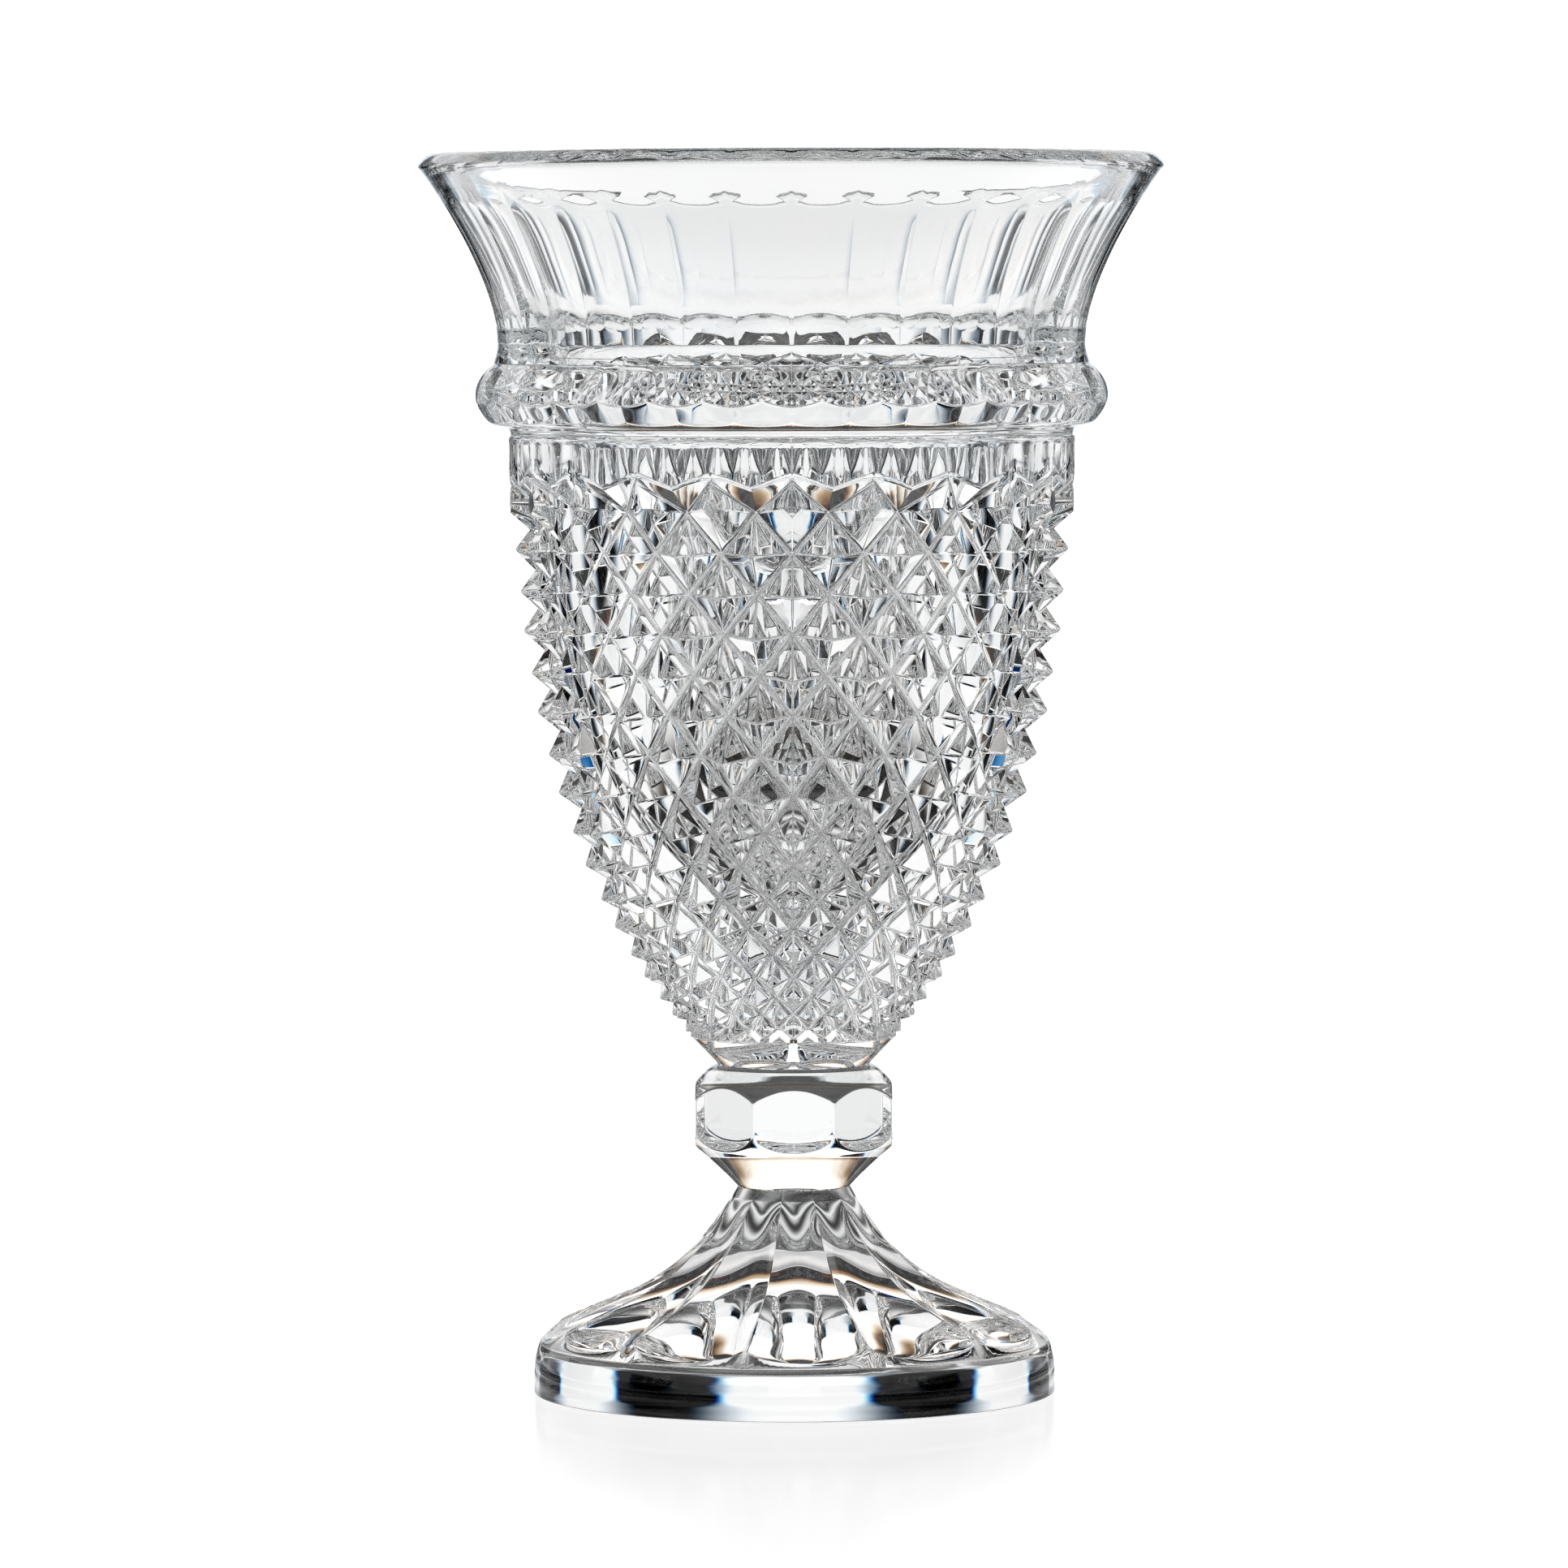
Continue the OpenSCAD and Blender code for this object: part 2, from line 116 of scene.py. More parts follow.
def spline(points, n):
    """Smooth curve through the points, n steps for each span."""
    p = np.array(points, float)
    out = []
    for i in range(len(p) - 1):
        a, b, c, d = p[max(0, i - 1)], p[i], p[i + 1], p[min(len(p) - 1, i + 2)]
        for k in range(n):
            t = k / n
            out.append(0.5 * (2 * b + (c - a) * t + (2 * a - 5 * b + 4 * c - d) * t * t
                              + (3 * b - a - 3 * c + d) * t ** 3))
    out.append(p[-1])
    return np.array(out)


def spread(n, edge):
    """Places -1..1 across one facet, closer together at its two edges."""
    inner = np.linspace(-1 + 2 * edge, 1 - 2 * edge, n)
    return np.concatenate([[-1, -1 + edge], inner, [1 - edge]])


def round_columns(count, places, turn=0.0):
    """Angle of every column, and its place in its facet."""
    pitch = 360 / count
    a = (np.arange(count)[:, None] * pitch + (places[None, :] + 1) / 2 * pitch).ravel() + turn
    return a, np.tile(places, count)


class Shell:
    """Gathers patches of points into one closed mesh. Patches of one group are shaded smoothly together."""

    def __init__(self):
        self.points, self.faces, self.groups, self.slots = [], [], [], []
        self.count = 0

    def grid(self, pts, group, slot=GLASS, wrap=True, flip=False):
        """pts[row][column]: rows go up, columns go anticlockwise seen from above, faces look outwards."""
        rows, cols = pts.shape[:2]
        index = np.arange(rows * cols).reshape(rows, cols) + self.count
        if wrap:
            index = np.concatenate([index, index[:, :1]], 1)
        a, b = index[:-1, :-1], index[:-1, 1:]
        c, d = index[1:, 1:], index[1:, :-1]
        quads = np.stack([a, b, c, d] if not flip else [a, d, c, b], -1).reshape(-1, 4)
        self.add(pts.reshape(-1, 3), quads, group, slot)

    def disc(self, ring, centre, group, slot, flip=False):
        """Closes a ring of points with a fan; it looks up unless flipped."""
        n = len(ring)
        j = np.arange(n) + self.count
        k = (np.arange(n) + 1) % n + self.count
        m = np.full(n, n + self.count)
        tris = np.stack([m, j, k, k] if not flip else [m, k, j, j], -1)
        self.add(np.concatenate([ring, [centre]]), tris, group, slot)

    def annulus(self, outer, inner, group, slot):
        """Flat band between two rings with different numbers of points; it looks up."""
        def turn(p):
            a = np.unwrap(np.arctan2(p[:, 0], -p[:, 1]))
            return np.append(a, a[0] + 2 * math.pi)

        a, b = turn(outer), turn(inner)
        n, m = len(outer), len(inner)
        i = j = 0
        tris = []
        while i < n or j < m:
            if j >= m or (i < n and a[i + 1] <= b[j + 1]):
                tris.append([i, (i + 1) % n, n + j % m, n + j % m])
                i += 1
            else:
                tris.append([i % n, n + (j + 1) % m, n + j, n + j])
                j += 1
        self.add(np.concatenate([outer, inner]), np.array(tris) + self.count, group, slot)

    def add(self, pts, quads, group, slot):
        self.points.append(pts)
        self.faces.append(quads)
        self.groups.append(np.full(len(quads), group))
        self.slots.append(np.full(len(quads), slot))
        self.count += len(pts)

    def build(self, name, materials):
        """Welds the patches, drops the faces that have no area, and makes the object."""
        pts = np.concatenate(self.points)
        quads = np.concatenate(self.faces)
        groups = np.concatenate(self.groups)
        slots = np.concatenate(self.slots)
        _, first, same = np.unique(np.round(pts, WELD), axis=0, return_index=True, return_inverse=True)
        pts = pts[first]
        quads = same.reshape(-1)[quads]
        faces, keep = [], []
        for i, q in enumerate(quads):
            f = [q[k] for k in range(4) if q[k] != q[k - 1]]
            if len(f) >= 3 and len(set(f)) == len(f):
                faces.append([int(v) for v in f])
                keep.append(i)
        groups, slots = groups[keep], slots[keep]
        mesh = bpy.data.meshes.new(name)
        mesh.from_pydata((pts * MM).tolist(), [], faces)
        for m in materials:
            mesh.materials.append(m)
        mesh.polygons.foreach_set("material_index", slots.astype(np.int32))
        mesh.polygons.foreach_set("use_smooth", np.ones(len(faces), bool))
        mesh.update()
        shade(mesh, groups)
        obj = bpy.data.objects.new(name, mesh)
        bpy.context.scene.collection.objects.link(obj)
        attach(obj, "root")
        return obj


def shade(mesh, groups):
    """Corner normals from the faces of one group round a point, weighed by area so that flats stay flat."""
    n = len(mesh.polygons)
    normal = np.zeros(n * 3)
    area = np.zeros(n)
    total = np.zeros(n, np.int32)
    mesh.polygons.foreach_get("normal", normal)
    mesh.polygons.foreach_get("area", area)
    mesh.polygons.foreach_get("loop_total", total)
    corner = np.zeros(len(mesh.loops), np.int32)
    mesh.loops.foreach_get("vertex_index", corner)
    face = np.repeat(np.arange(n), total)
    weighted = normal.reshape(-1, 3)[face] * area[face, None]
    key = corner.astype(np.int64) * MOST_GROUPS + groups[face]
    _, place = np.unique(key, return_inverse=True)
    place = place.reshape(-1)
    sums = np.zeros((place.max() + 1, 3))
    np.add.at(sums, place, weighted)
    sums /= np.maximum(np.linalg.norm(sums, axis=1), 1e-12)[:, None]
    mesh.normals_split_custom_set(sums[place].tolist())


# ---------- the cavity ----------

BAND_IN, WAIST_IN, LIP_IN = BAND_R - BAND_WALL, WAIST_R - WAIST_WALL, RIM_R - LIP_WALL
CAVITY_Z = Z_BOWL + BASE_WALL
DEEP = Z_RING - CAVITY_Z

# The inner wall's profile, radius and height, from the bottom up; the CAD cavity has the same points
CAVITY = spline([
    [0, CAVITY_Z],
    [BAND_IN * 0.145, CAVITY_Z + DEEP * 0.008],
    [BAND_IN * 0.34, CAVITY_Z + DEEP * 0.045],
    [BAND_IN * 0.50, CAVITY_Z + DEEP * 0.108],
    [BAND_IN * 0.635, CAVITY_Z + DEEP * 0.19],
    [BAND_IN * 0.745, CAVITY_Z + DEEP * 0.295],
    [BAND_IN * 0.835, CAVITY_Z + DEEP * 0.425],
    [BAND_IN * 0.905, CAVITY_Z + DEEP * 0.57],
    [BAND_IN * 0.955, CAVITY_Z + DEEP * 0.73],
    [BAND_IN * 0.985, CAVITY_Z + DEEP * 0.88],
    [BAND_IN * 1.012, Z_RING],
    [mix(BAND_IN, WAIST_IN, 0.65), Z_RING + RING_H * 0.65],
    [WAIST_IN, Z_COLLAR + COLLAR_H * 0.08],
    [mix(WAIST_IN, LIP_IN, 0.17), Z_COLLAR + COLLAR_H * 0.30],
    [mix(WAIST_IN, LIP_IN, 0.42), Z_COLLAR + COLLAR_H * 0.55],
    [mix(WAIST_IN, LIP_IN, 0.74), Z_COLLAR + COLLAR_H * 0.80],
    [mix(WAIST_IN, LIP_IN, 0.93), Z_COLLAR + COLLAR_H * 0.95],
    [LIP_IN, Z_TOP - 0.6],
    [LIP_IN + 0.9, Z_TOP],
], 12)


def inner_wall(a, z_low, z_high, n):
    """The cavity's wall between two heights, top row first so that it looks inwards."""
    heights = np.linspace(z_high, z_low, n)
    return np.array([at(np.interp(z, CAVITY[:, 1], CAVITY[:, 0]), a, z) for z in heights])


def hollow_piece(name, outer, inner, top_slot, materials):
    """A ring-shaped piece: its outside, its top face, its share of the cavity and its joint face below."""
    body = Shell()
    body.grid(outer, OUTER)
    body.grid(np.array([outer[-1], inner[0]]), TOP, top_slot)
    body.grid(inner, INNER)
    body.grid(np.array([inner[-1], outer[0]]), BOTTOM, JOINT)
    return body.build(name, materials)


# ---------- collar ----------

# Heights are above the ring joint
WAIST_Z, FLARE_Z = 5.7, 47.2   # the narrowest place, and where the flare reaches the rim
FLARE_POWER = 1.564
FLARE = (RIM_R - 0.8 - WAIST_R) / (FLARE_Z - WAIST_Z) ** FLARE_POWER
FLUTE_LOW, LOW_ARCH = 9.4, 1.9     # flute ends at a ridge, and how much further the arches reach
FLUTE_HIGH, HIGH_ARCH = 37.1, 3.3
LOW_FADE, HIGH_FADE = 0.4, 0.22    # shares of a flute over which it runs out
FLUTE_STEPS = (0, 0.012, 0.03, 0.055, 0.08, 0.12, 0.18, 0.26, 0.34, 0.42, 0.5, 0.58, 0.66, 0.74, 0.82,
               0.88, 0.92, 0.945, 0.97, 0.988, 1)


def collar_blank(z):
    """Radius of the collar before it is fluted."""
    z = np.asarray(z, float)
    low = WAIST_R + 1.1 * (np.maximum(WAIST_Z - z, 0) / WAIST_Z) ** 2
    return np.where(z < WAIST_Z, low, WAIST_R + FLARE * np.maximum(z - WAIST_Z, 0) ** FLARE_POWER)


def collar(materials):
    a, u = round_columns(FACETS, spread(9, 0.05))
    low, high = FLUTE_LOW - LOW_ARCH * arch(u), FLUTE_HIGH + HIGH_ARCH * arch(u)
    rows = [at(collar_blank(z), a, z) for z in np.linspace(0, 4.8, 7)]
    for v in FLUTE_STEPS:
        z = mix(low, high, v)
        end = 1 - (1 - min(1.0, v / LOW_FADE, (1 - v) / HIGH_FADE)) ** 2
        rows.append(at(collar_blank(z) - COLLAR_SINK * (1 - u * u) * end, a, z))
    rows += [at(collar_blank(z), a, z) for z in (41.2, 42.2, 43.6, 45.2, 46.4)]
    lip = spline([[RIM_R - 0.95, 46.9], [RIM_R - 0.25, 47.6], [RIM_R, 48.1], [RIM_R - 0.22, 48.8],
                  [RIM_R - 1.0, 49.9], [RIM_R - 2.1, 50.9], [RIM_R - 3.4, COLLAR_H]], 3)
    rows += [at(r, a, z) for r, z in lip]
    outer = np.array(rows) + [0, 0, Z_COLLAR]
    inner = inner_wall(a, Z_COLLAR, Z_TOP, 44)
    return hollow_piece("rim_collar_glass", outer, inner, GLASS, materials)


# ---------- girdle ring ----------

# Heights are above the bowl joint. Facets end in arches, and the two rows meet in a wavy ridge.
RING_MID, RING_CURVE = 9.7, 0.075
LOWER_Z, LOWER_ARCH = 4.1, 1.2
RIDGE_Z, RIDGE_WAVE = 7.4, 1.4
UPPER_Z, UPPER_ARCH = 15.3, 1.1
HALF_FACET = 180 / FACETS
FACET_SIDE = np.array([0, 0.05, 0.1, 0.25, 0.42, 0.58, 0.75, 0.9, 0.95])
LOWER_STEPS = (0, 0.02, 0.06, 0.15, 0.3, 0.5, 0.7, 0.85, 0.94, 0.98)
UPPER_STEPS = (0, 0.02, 0.05, 0.12, 0.25, 0.4, 0.55, 0.7, 0.84, 0.94, 0.98, 1)


def ring_blank(z):
    """Radius of the ring before its facets are cut."""
    return RING_R - RING_CURVE * (z - RING_MID) ** 2


def facet_row(low, high, u, a, steps):
    """Rows of one round of hollow facets between two edge lines."""
    rows = []
    for v in steps:
        z = mix(low, high, v)
        rows.append(at(ring_blank(z) - FACET_SINK * (1 - u * u) * (4 * v * (1 - v)) ** 0.6, a, z))
    return rows


def girdle(materials):
    # the lower facets' edges lie at even half steps and the upper ones' at odd half steps
    a = (np.arange(2 * FACETS)[:, None] * HALF_FACET + FACET_SIDE[None, :] * HALF_FACET).ravel()
    low_u = 2 * ((a / (2 * HALF_FACET)) % 1) - 1
    up_u = 2 * (((a + HALF_FACET) / (2 * HALF_FACET)) % 1) - 1
    low = LOWER_Z - LOWER_ARCH * arch(low_u)
    ridge = RIDGE_Z + RIDGE_WAVE * up_u ** 2
    high = UPPER_Z + UPPER_ARCH * arch(up_u)
    base = BAND_R - 0.5
    rows = [at(base + step, a, z) for step, z in ((0, 0), (0.2, 1.0), (0.6, 1.5), (1.3, 1.9), (2.3, 2.12))]
    rows.append(at(ring_blank(2.4) - 0.5, a, 2.3))
    rows += facet_row(low, ridge, low_u, a, LOWER_STEPS)
    rows += facet_row(ridge, high, up_u, a, UPPER_STEPS)
    rows += [at(WAIST_R + 1.5, a, RING_H - 0.4), at(WAIST_R + 1.1, a, RING_H)]
    outer = np.array(rows) + [0, 0, Z_RING]
    inner = inner_wall(a, Z_RING, Z_COLLAR - FILM, 16)
    return hollow_piece("girdle_ring_glass", outer, inner, JOINT, materials)


# ---------- knop ----------

FLAT_SOFT, ROUND_SOFT = 0.35, 0.22  # rounding between two facets, and between a facet and the blank
CUT_LOW, CUT_HIGH = 3, 29.1         # the facets lie between these heights above the foot joint


def knop(materials):
    profile = spline([
        [NECK_R, 0], [0.63 * KNOP_R, 3.0], [0.82 * KNOP_R, 7.7], [0.925 * KNOP_R, 10.2],
        [0.985 * KNOP_R, 13.2], [KNOP_R, 17.6], [0.985 * KNOP_R, 22.0], [0.93 * KNOP_R, 24.8],
        [0.87 * KNOP_R, 27.0], [0.775 * KNOP_R, 29.3], [STEM_R, KNOP_H]], 12)
    pitch = 360 / KNOP_FACETS
    # columns of one facet, in degrees from its middle, closest together at its two edges
    side = np.concatenate([
        np.linspace(-22.5, -20.7, 5), np.linspace(-19.9, 19.9, 29), np.linspace(20.7, 22.2, 4)])
    a = (np.arange(KNOP_FACETS)[:, None] * pitch + side[None, :]).ravel()
    off = np.tile(side, KNOP_FACETS)
    flat = KNOP_FLAT / np.cos(np.radians(off))
    beside = KNOP_FLAT / np.cos(np.radians(pitch - np.abs(off)))
    cut = soft_min(flat, beside, FLAT_SOFT)
    rows = []
    for r, z in profile:
        faceted = CUT_LOW < z < CUT_HIGH
        rows.append(at(soft_min(np.full_like(a, r), cut, ROUND_SOFT) if faceted else r, a, z))
    outer = np.array(rows) + [0, 0, Z_KNOP]
    body = Shell()
    body.grid(outer, OUTER)
    body.disc(outer[-1], [0, 0, Z_KNOP + KNOP_H], TOP, JOINT)
    body.disc(outer[0], [0, 0, Z_KNOP], BOTTOM, JOINT, flip=True)
    return body.build("knop_glass", materials)


# ---------- foot ----------

# The ridge line of the bell from the neck down to the flutes' tips
BELL = spline([[15.2, 48.6], [17.0, 46.2], [19.6, 42.6], [22.8, 38.4], [26.8, 34.2], [31.9, 29.9],
               [38.6, 25.8], [46.6, 22.2], [53.4, 19.4], [58.6, 17.0]], 6)
FLUTE_TIP = 3.1                # how far the arched tips reach past the ridges' ends
SCOOP_R, SCOOP_Z = 0.55, 0.83  # direction in which the flutes are scooped


def bell_row(a, u, t):
    """One ring of the fluted bell; t runs 0..1 from the neck to the flutes' tips."""
    k = t * (len(BELL) - 1)
    i = min(len(BELL) - 2, int(k))
    p = mix(BELL[i], BELL[i + 1], k - i)
    reach = FLUTE_TIP * arch(u) * t ** 4
    run = min(1, t * 3) * (1 - 0.55 * t ** 6)
    end = math.sqrt(max(0.0, 1 - (1 - min(1, (1 - t) / 0.05)) ** 2))
    sink = FLUTE_SINK * run * (1 - u * u) * end
    return at(p[0] + reach - SCOOP_R * sink, a, p[1] - reach - SCOOP_Z * sink)


def foot(materials):
    a, u = round_columns(FOOT_FLUTES, spread(19, 0.025), FOOT_TURN - 180 / FOOT_FLUTES)
    disc = spline([[FOOT_R - 0.6, 0], [FOOT_R - 0.15, 0.15], [FOOT_R, 0.6], [FOOT_R, 3.0], [FOOT_R, 6.0],
                   [FOOT_R - 0.2, 8.0], [FOOT_R - 0.5, 9.6], [FOOT_R - 0.9, 11.2],
                   [FOOT_R - 1.5, DISC_H]], 3)
    rows = [at(r, a, z) for r, z in disc]
    rows += [bell_row(a, u, t) for t in (1, 0.995, 0.985, 0.97, 0.95, *np.linspace(0.93, 0, 48))]
    rows += [at(r, a, z) for r, z in ((14.7, 49.5), (14.3, 50.2), (NECK_R, FOOT_H))]
    outer = np.array(rows)
    body = Shell()
    body.grid(outer, OUTER)
    body.disc(outer[-1], [0, 0, FOOT_H], TOP, JOINT)
    body.disc(outer[0], [0, 0, 0], BOTTOM, GLASS, flip=True)
    return body.build("foot_glass", materials)


# ---------- bowl ----------

# Heights are above the knop joint, and m counts half diamonds round the bowl. A diamond is a pyramid on
# the groove surface, the smooth surface that the grooves are cut down to; its edges are then rounded.
HALF = 180 / DIAMONDS      # half a diamond, in degrees
POINT = 1.15               # height of a sharp point, as a share of its cell's half width
GROOVE = 0.78              # half width of the rounded groove bottom
CREASE = 0.7               # rounding of the ridges, as a height
SUNK = 0.62                # depth of the sharp groove line under the groove surface
POINT_R, POINT_UP = 72.6, 1.5  # where the top row's points would be if the plain band didn't cut them off
FADE = 1.5                 # the rounding runs out over this distance under the plain band's surface
WALL_STEEP = 1.55          # slope of the top grooves' outer walls
END_STRIPS = 6             # extra columns along the first and last grooves, whose outer edges are round
FLUTE_TOP, FLUTE_ARCH = 2.2, 1.3  # the band flutes' ends under the joint, and the rise of their arches


def groove_r(z):
    """Radius of the groove surface."""
    s = np.maximum(0, (1.0477 * BOWL_H - z) / (1.121 * BOWL_H))
    return 0.4417 * 2 * BAND_R * (1 - s ** 2.39) ** 0.7072


def slope(z):
    return groove_r(z + 0.5) - groove_r(z - 0.5)


row_z = [0.8847 * BOWL_H]
for _ in range(ROWS):
    row_z.append(row_z[-1] - BOWL_H * min(0.0633, 0.1966 * groove_r(row_z[-1]) / (2 * BAND_R) - 0.0133))
row_r = [groove_r(z) for z in row_z]
PEAK_Z, VALLEY_Z = 0.9452 * BOWL_H, 0.9214 * BOWL_H        # the zigzag edge of the plain band
CONE_Z, CONE_R = 0.0438 * BOWL_H, 0.1827 * 2 * BAND_R      # the top of the plain cone


def cell_d(k):
    """Half width of a cell, measured square to its sides."""
    b = (row_z[k] - row_z[k + 1]) * math.sqrt(1 + slope(row_z[k]) ** 2)
    a = row_r[k] * math.radians(HALF)
    return a * b / math.hypot(a, b)


def outward(p):
    """Unit normal of the groove surface at the points p."""
    s = slope(np.clip(p[..., 2], 8, 140))
    r = radius(p)
    q = np.sqrt(1 + s * s)
    return np.stack([p[..., 0] / r / q, p[..., 1] / r / q, -s / q], -1)


def crossing(k, m):
    """Sharp corner where the grooves cross beside row k."""
    if k < 0:
        return at(BAND_R - 0.3, m * HALF, PEAK_Z - 2.0)
    if k >= ROWS:
        return at(CONE_R - 0.25, m * HALF, CONE_Z + 0.9)
    p = at(row_r[k], m * HALF, row_z[k])
    return p - SUNK * outward(p)


def sharp(k):
    """Height of a diamond's sharp point over the groove surface, and the slope of its sides."""
    d = cell_d(k)
    h = POINT * d + CREASE / 2
    return h, (h + SUNK) / d


def hollow(d, steep):
    """Height over the sharp groove line at distance d, with a rounded bottom."""
    return np.where(d < GROOVE, steep * (d * d / (2 * GROOVE) + GROOVE / 2), steep * d)


def swell(s, t, d, steep):
    """How far the rounded diamond stands from the sharp one; s is 0 at its point and 1 at its grooves."""
    own, other = (1 - s) * d, (1 - s * np.abs(t)) * d
    a = soft_min(hollow(own, steep), hollow((1 + s) * d, steep), CREASE)
    b = soft_min(hollow(other, steep), hollow((1 + s * np.abs(t)) * d, steep), CREASE)
    return soft_min(a, b, CREASE) - steep * np.minimum(own, other)


def groove_line(k, m, side, t):
    """Rounded bottom of the groove between crossing (k, m) at t = -1 and (k + 1, m + side) at t = 1."""
    p = mix(crossing(k, m), crossing(k + 1, m + side), (t[:, None] + 1) / 2)
    upper, lower = max(k, 0), min(k + 1, ROWS - 1)
    d = mix(cell_d(upper), cell_d(lower), (t + 1) / 2)
    steep = mix(sharp(upper)[1], sharp(lower)[1], (t + 1) / 2)
    rise = swell(1.0, t, d, steep)
    if k < 0:
        rise = rise * np.clip((BAND_R - radius(p)) / FADE, 0, 1)
    return p + rise[:, None] * outward(p)


def strips(k, dense=0):
    """Places -1..1 along the groove between rows k and k + 1, closer together at its two ridges."""
    rows = [q for q in (k, k + 1) if 0 <= q < ROWS]
    w = sum(CREASE / (sharp(q)[1] * cell_d(q)) for q in rows) / len(rows)
    edge = np.array([0, w / 2, w])
    inner = np.linspace(-1 + w, 1 - w, dense + 2)[1:-1]
    return np.concatenate([-1 + edge, inner, (1 - edge)[::-1]])


def side_levels(ridge, groove):
    """Places from a diamond's point to the groove line, for a ridge and a groove of these widths."""
    return np.array([0, 0.5 * ridge, ridge, 2 * ridge, mix(2 * ridge, 1 - groove, 0.5), 1 - groove,
                     1 - 2 * groove / 3, 1 - groove / 3, 1])


def kite_levels(t, first, second, groove):
    """The same for the top row, whose points are cut off in kites by the plain band's surface."""
    share_a, share_b = ((POINT_R - BAND_R) / (POINT_R - math.hypot(c[0], c[1])) for c in (first, second))
    cut = 1 / ((1 - t) / (2 * share_a) + (1 + t) / (2 * share_b))
    levels = [np.zeros_like(t), cut * 0.5, cut * 0.93, cut]
    for least, grooves in ((0.06, None), (0.35, None), (0.55, 1.0), (0.7, 2 / 3), (0.85, 1 / 3), (1, 0)):
        v = np.full_like(t, least)
        if grooves is not None:
            v = np.maximum(v, (1 - grooves * groove - cut) / (1 - cut))
        levels.append(cut + (1 - cut) * v)
    return np.array(levels)


def diamond_side(k, upper):
    """The upper or lower right-hand side of a diamond, in rows from its point to the groove line."""
    d = cell_d(k)
    height, steep = sharp(k)
    last = (k == 0 and upper) or (k == ROWS - 1 and not upper)
    places = strips(k - 1 if upper else k, END_STRIPS if last else 0)
    if upper:
        first, second = crossing(k, 1), crossing(k - 1, 0)
        line = groove_line(k - 1, 0, 1, -places)
    else:
        first, second = crossing(k + 1, 0), crossing(k, 1)
        line = groove_line(k, 1, -1, -places)
    if k == 0:
        apex = at(POINT_R, 0, row_z[0] + POINT_UP)
        s = kite_levels(places, first, second, GROOVE / d)
        t = np.repeat(places[None, :], len(s), 0)
    else:
        base = at(row_r[k], 0, row_z[k])
        apex = base + height * outward(base)
        s = np.repeat(side_levels(CREASE / (steep * d), GROOVE / d)[:, None], len(places), 1)
        inset = 1 - np.abs(places)[None, :]
        t = np.sign(places) * (1 - np.minimum(inset / np.maximum(s, 1e-6), inset / inset.max()))
    edge = (1 - t)[..., None] / 2 * first + (1 + t)[..., None] / 2 * second
    p = (1 - s)[..., None] * apex + s[..., None] * edge
    rise = swell(s, t, d, steep)
    if k == 0:
        rise = rise * np.clip((BAND_R - radius(p)) / FADE, 0, 1)
    p = p + rise[..., None] * outward(p)
    if k == 0:
        p[..., :2] *= np.minimum(1, (BAND_R - 0.03) / radius(p))[..., None]
    p[-1] = line
    return p


def band_side(line):
    """Outer wall of the top grooves up to the zigzag edge, then the plain band, over half a diamond."""
    places = strips(-1, END_STRIPS)
    f = (1 - places) / 2
    edge = at(BAND_R, f * HALF, mix(PEAK_Z, VALLEY_Z, f))
    reach = np.linalg.norm(edge - line, axis=1)
    depth = np.clip((BAND_R - radius(line)) / FADE, 0, 1)
    corner = mix(crossing(0, 1), crossing(-1, 0), ((1 + places) / 2)[:, None])
    wall = [line]
    for share in (1 / 3, 2 / 3, 1):
        d = share * GROOVE
        p = mix(corner, edge, (d / np.maximum(reach, 1.5))[:, None])
        rise = (hollow(np.full_like(places, d), WALL_STEEP) - WALL_STEEP * d) * depth
        wall.append(p + rise[:, None] * outward(p))
    wall.append(mix(wall[-1], edge, 0.4))
    # the zigzag edge is rounded over by a short curve
    soft = np.minimum(0.9, 0.4 * reach)
    below = edge + (wall[-1] - edge) * (soft / np.linalg.norm(wall[-1] - edge, axis=1))[:, None]
    above = edge + np.array([0, 0, 1.0]) * soft[:, None]
    for q in np.linspace(0, 1, 6):
        wall.append((1 - q) ** 2 * below + 2 * q * (1 - q) * edge + q * q * above)
    start = wall[-1][:, 2]
    for q in (0.15, 0.3, 0.45, 0.57, 0.65, 0.7, 0.75, 0.8, 0.84, 0.88, 0.92, 0.96, 1):
        wall.append(at(BAND_R, f * HALF, mix(start, BOWL_H - 0.9, q)))
    for inset, drop in ((0.06, 0.6), (0.2, 0.3), (0.5, 0)):
        wall.append(at(BAND_R - inset, f * HALF, BOWL_H - drop))
    return np.array(wall), f


def cone_side(line):
    """Outer wall of the last grooves down to the plain cone, then the cone, over half a diamond."""
    f = (1 + strips(ROWS - 1, END_STRIPS)) / 2
    edge = at(CONE_R, f * HALF, CONE_Z)
    corner = mix(crossing(ROWS, 0), crossing(ROWS - 1, 1), f[:, None])
    wall = [line]
    for share in (1 / 2, 1):
        v = np.minimum(share * GROOVE / np.linalg.norm(edge - corner, axis=1), 0.5 * share)
        wall.append(mix(line, edge, v[:, None]))
    wall += [mix(wall[2], edge, 0.8), edge]
    for q in (0.06, 0.2, 0.4, 0.6, 0.8, 0.94, 1):
        wall.append(at(mix(CONE_R, STEM_R, q), f * HALF, CONE_Z * (1 - q)))
    return np.array(wall), f


def ring_angles(f, odd):
    """Angles of all the columns round the bowl, from their places in half a diamond."""
    sides = np.concatenate([-f * HALF, f * HALF])
    return np.unique(np.round(np.concatenate([
        ((2 * j + odd) * HALF + sides) % 360 for j in range(DIAMONDS)]), 6))


